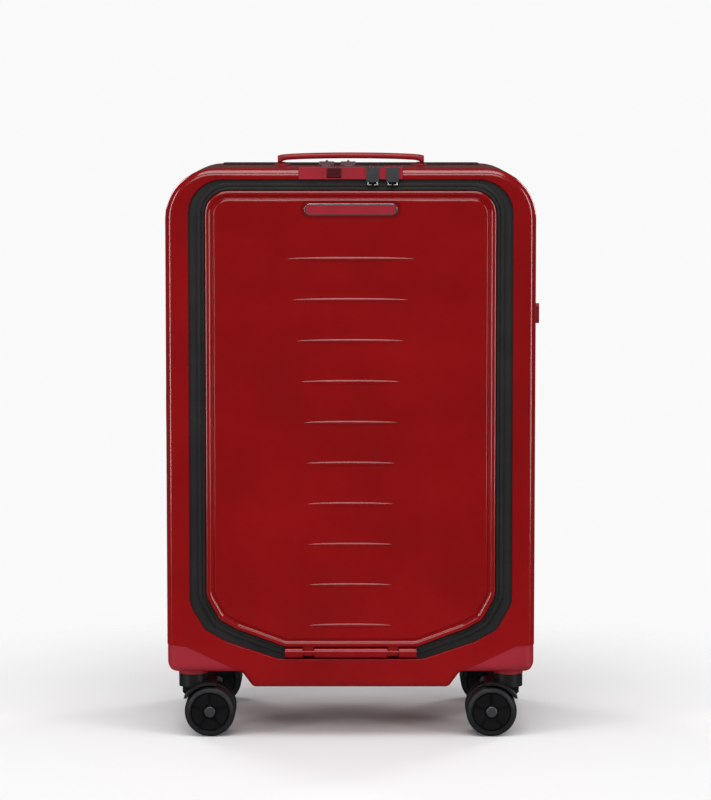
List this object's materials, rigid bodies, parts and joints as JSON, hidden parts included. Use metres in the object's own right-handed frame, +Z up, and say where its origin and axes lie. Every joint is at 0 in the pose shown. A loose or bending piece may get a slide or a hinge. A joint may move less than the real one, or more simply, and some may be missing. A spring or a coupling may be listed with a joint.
{
  "type": "hard shell suitcase on wheels",
  "caption": "Hard shell cabin suitcase with a front pocket door, expander, telescopic and carry handles, lock, and twin-wheel swivel casters.",
  "frame": {"origin": "on the floor, under the middle of the case", "axes": "+Z up, +X to the right seen from the front, the front faces -Y"},
  "size_m": [0.365, 0.23, 0.55],
  "materials": {
    "polycarbonate": "glossy moulded red polycarbonate sheet",
    "lining": "woven polyester lining",
    "black_plastic": "moulded black nylon, fine texture",
    "aluminium_tube": "satin anodised",
    "soft_grip": "soft-touch red elastomer",
    "red_plastic": "moulded red plastic, fine texture",
    "steel": "plain steel",
    "zip_tape": "black woven tape with a polyurethane coat",
    "zip_metal": "gunmetal plated die casting",
    "satin_metal": "satin chromed die casting",
    "lock_plastic": "moulded plastic",
    "wheel_rubber": "black polyurethane"
  },
  "bodies": {
    "back_half": {"back_shell": "polycarbonate", "back_lining": "lining", "handle_socket": "black_plastic", "outer_tubes": "aluminium_tube", "tube_brackets": "black_plastic", "top_handle_mounts": "red_plastic", "side_handle_mounts": "red_plastic", "rear_housing_left": "red_plastic", "rear_housing_right": "red_plastic", "rear_swivel_pins": "steel"},
    "handle_middle": {"middle_tubes": "aluminium_tube"},
    "handle_inner": {"inner_tubes": "aluminium_tube", "grip": "black_plastic"},
    "grip_button": {"grip_button": "black_plastic"},
    "top_handle": {"top_handle": "soft_grip"},
    "side_handle": {"side_handle": "soft_grip"},
    "expander": {"expander_frame": "zip_tape"},
    "expander_slider": {"expander_slider": "zip_metal"},
    "expander_pull": {"expander_pull": "soft_grip"},
    "front_half": {"front_shell": "polycarbonate", "main_zip": "zip_tape", "pocket_liner": "lining", "pocket_zip": "zip_tape", "door_hinge": "polycarbonate", "hinge_pin": "steel", "front_housing_left": "red_plastic", "front_housing_right": "red_plastic", "front_swivel_pins": "steel", "lock_housing": "red_plastic"},
    "pocket_door": {"pocket_door": "polycarbonate", "badge_plate": "satin_metal"},
    "lock_button": {"lock_button": "lock_plastic"},
    "lock_dial_1": {"lock_dial_1": "lock_plastic"},
    "lock_dial_2": {"lock_dial_2": "lock_plastic"},
    "lock_dial_3": {"lock_dial_3": "lock_plastic"},
    "main_slider_left": {"main_slider_left": "zip_metal"},
    "main_pull_left": {"main_pull_left": "satin_metal"},
    "main_slider_right": {"main_slider_right": "zip_metal"},
    "main_pull_right": {"main_pull_right": "satin_metal"},
    "pocket_slider_left": {"pocket_slider_left": "zip_metal"},
    "pocket_pull_left": {"pocket_pull_left": "satin_metal"},
    "pocket_slider_right": {"pocket_slider_right": "zip_metal"},
    "pocket_pull_right": {"pocket_pull_right": "satin_metal"},
    "caster_front_left": {"fork_front_left": "black_plastic", "axle_front_left": "steel"},
    "wheel_front_left_a": {"wheel_front_left_a": "wheel_rubber"},
    "wheel_front_left_b": {"wheel_front_left_b": "wheel_rubber"},
    "caster_front_right": {"fork_front_right": "black_plastic", "axle_front_right": "steel"},
    "wheel_front_right_a": {"wheel_front_right_a": "wheel_rubber"},
    "wheel_front_right_b": {"wheel_front_right_b": "wheel_rubber"},
    "caster_rear_left": {"fork_rear_left": "black_plastic", "axle_rear_left": "steel"},
    "wheel_rear_left_a": {"wheel_rear_left_a": "wheel_rubber"},
    "wheel_rear_left_b": {"wheel_rear_left_b": "wheel_rubber"},
    "caster_rear_right": {"fork_rear_right": "black_plastic", "axle_rear_right": "steel"},
    "wheel_rear_right_a": {"wheel_rear_right_a": "wheel_rubber"},
    "wheel_rear_right_b": {"wheel_rear_right_b": "wheel_rubber"}
  },
  "joints": [
    {"name": "handle_middle_slide", "type": "slide", "parent": "back_half", "child": "handle_middle", "axis": [0, 0, 1], "range_m": [0, 0.236]},
    {"name": "handle_inner_slide", "type": "slide", "parent": "handle_middle", "child": "handle_inner", "axis": [0, 0, 1], "range_m": [0, 0.236]},
    {"name": "grip_button_press", "type": "slide", "parent": "handle_inner", "child": "grip_button", "axis": [0, 0, -1], "range_m": [0, 0.003], "stiffness_N_per_m": 500},
    {"name": "top_handle_lift", "type": "slide", "parent": "back_half", "child": "top_handle", "axis": [0, 0, 1], "range_m": [0, 0.016], "stiffness_N_per_m": 300},
    {"name": "side_handle_pull", "type": "slide", "parent": "back_half", "child": "side_handle", "axis": [-1, 0, 0], "range_m": [0, 0.016], "stiffness_N_per_m": 300},
    {"name": "expander_open", "type": "slide", "parent": "back_half", "child": "expander", "axis": [0, -1, 0], "range_m": [0, 0.04]},
    {"name": "expander_slider_run", "type": "slide", "parent": "back_half", "child": "expander_slider", "axis": [0, 0, 1], "range_m": [-0.28, 0.06]},
    {"name": "expander_pull_swing", "type": "hinge", "parent": "expander_slider", "child": "expander_pull", "pos_m": [0.1774, 0.00615, 0.414], "axis": [0, -1, 0], "range_deg": [0, 150]},
    {"name": "main_opening", "type": "hinge", "parent": "expander", "child": "front_half", "pos_m": [-0.175, -0.01, 0.3], "axis": [0, 0, -1], "range_deg": [0, 170]},
    {"name": "pocket_door_opening", "type": "hinge", "parent": "front_half", "child": "pocket_door", "pos_m": [0, -0.108, 0.0816], "axis": [1, 0, 0], "range_deg": [0, 85]},
    {"name": "lock_button_press", "type": "slide", "parent": "front_half", "child": "lock_button", "axis": [0, 1, 0], "range_m": [0, 0.003], "stiffness_N_per_m": 400},
    {"name": "lock_dial_1_turn", "type": "hinge", "parent": "front_half", "child": "lock_dial_1", "pos_m": [0.015, -0.0848, 0.5345], "axis": [1, 0, 0], "continuous": true},
    {"name": "lock_dial_2_turn", "type": "hinge", "parent": "front_half", "child": "lock_dial_2", "pos_m": [0.022, -0.0848, 0.5345], "axis": [1, 0, 0], "continuous": true},
    {"name": "lock_dial_3_turn", "type": "hinge", "parent": "front_half", "child": "lock_dial_3", "pos_m": [0.029, -0.0848, 0.5345], "axis": [1, 0, 0], "continuous": true},
    {"name": "main_slider_left_run", "type": "slide", "parent": "front_half", "child": "main_slider_left", "axis": [-1, 0, 0], "range_m": [0, 0.09]},
    {"name": "main_pull_left_lift", "type": "hinge", "parent": "main_slider_left", "child": "main_pull_left", "pos_m": [-0.023, -0.01, 0.5413], "axis": [-1, 0, 0], "range_deg": [0, 110]},
    {"name": "main_slider_right_run", "type": "slide", "parent": "front_half", "child": "main_slider_right", "axis": [1, 0, 0], "range_m": [0, 0.11]},
    {"name": "main_pull_right_lift", "type": "hinge", "parent": "main_slider_right", "child": "main_pull_right", "pos_m": [-0.0025, -0.01, 0.5413], "axis": [-1, 0, 0], "range_deg": [0, 110]},
    {"name": "pocket_slider_left_run", "type": "slide", "parent": "front_half", "child": "pocket_slider_left", "axis": [-1, 0, 0], "range_m": [0, 0.12]},
    {"name": "pocket_pull_left_swing", "type": "hinge", "parent": "pocket_slider_left", "child": "pocket_pull_left", "pos_m": [0.0205, -0.1107, 0.5224], "axis": [1, 0, 0], "range_deg": [0, 120]},
    {"name": "pocket_slider_right_run", "type": "slide", "parent": "front_half", "child": "pocket_slider_right", "axis": [1, 0, 0], "range_m": [0, 0.07]},
    {"name": "pocket_pull_right_swing", "type": "hinge", "parent": "pocket_slider_right", "child": "pocket_pull_right", "pos_m": [0.039, -0.1107, 0.5224], "axis": [1, 0, 0], "range_deg": [0, 120]},
    {"name": "caster_front_left_swivel", "type": "hinge", "parent": "front_half", "child": "caster_front_left", "pos_m": [-0.15, -0.084, 0.054], "axis": [0, 0, 1], "continuous": true},
    {"name": "wheel_front_left_a_roll", "type": "hinge", "parent": "caster_front_left", "child": "wheel_front_left_a", "pos_m": [-0.1335, -0.084, 0.024], "axis": [0, 1, 0], "continuous": true},
    {"name": "wheel_front_left_b_roll", "type": "hinge", "parent": "caster_front_left", "child": "wheel_front_left_b", "pos_m": [-0.1335, -0.084, 0.024], "axis": [0, 1, 0], "continuous": true},
    {"name": "caster_front_right_swivel", "type": "hinge", "parent": "front_half", "child": "caster_front_right", "pos_m": [0.15, -0.084, 0.054], "axis": [0, 0, 1], "continuous": true},
    {"name": "wheel_front_right_a_roll", "type": "hinge", "parent": "caster_front_right", "child": "wheel_front_right_a", "pos_m": [0.1335, -0.084, 0.024], "axis": [0, 1, 0], "continuous": true},
    {"name": "wheel_front_right_b_roll", "type": "hinge", "parent": "caster_front_right", "child": "wheel_front_right_b", "pos_m": [0.1335, -0.084, 0.024], "axis": [0, 1, 0], "continuous": true},
    {"name": "caster_rear_left_swivel", "type": "hinge", "parent": "back_half", "child": "caster_rear_left", "pos_m": [-0.15, 0.084, 0.054], "axis": [0, 0, 1], "continuous": true},
    {"name": "wheel_rear_left_a_roll", "type": "hinge", "parent": "caster_rear_left", "child": "wheel_rear_left_a", "pos_m": [-0.1335, 0.084, 0.024], "axis": [0, 1, 0], "continuous": true},
    {"name": "wheel_rear_left_b_roll", "type": "hinge", "parent": "caster_rear_left", "child": "wheel_rear_left_b", "pos_m": [-0.1335, 0.084, 0.024], "axis": [0, 1, 0], "continuous": true},
    {"name": "caster_rear_right_swivel", "type": "hinge", "parent": "back_half", "child": "caster_rear_right", "pos_m": [0.15, 0.084, 0.054], "axis": [0, 0, 1], "continuous": true},
    {"name": "wheel_rear_right_a_roll", "type": "hinge", "parent": "caster_rear_right", "child": "wheel_rear_right_a", "pos_m": [0.1335, 0.084, 0.024], "axis": [0, 1, 0], "continuous": true},
    {"name": "wheel_rear_right_b_roll", "type": "hinge", "parent": "caster_rear_right", "child": "wheel_rear_right_b", "pos_m": [0.1335, 0.084, 0.024], "axis": [0, 1, 0], "continuous": true}
  ]
}
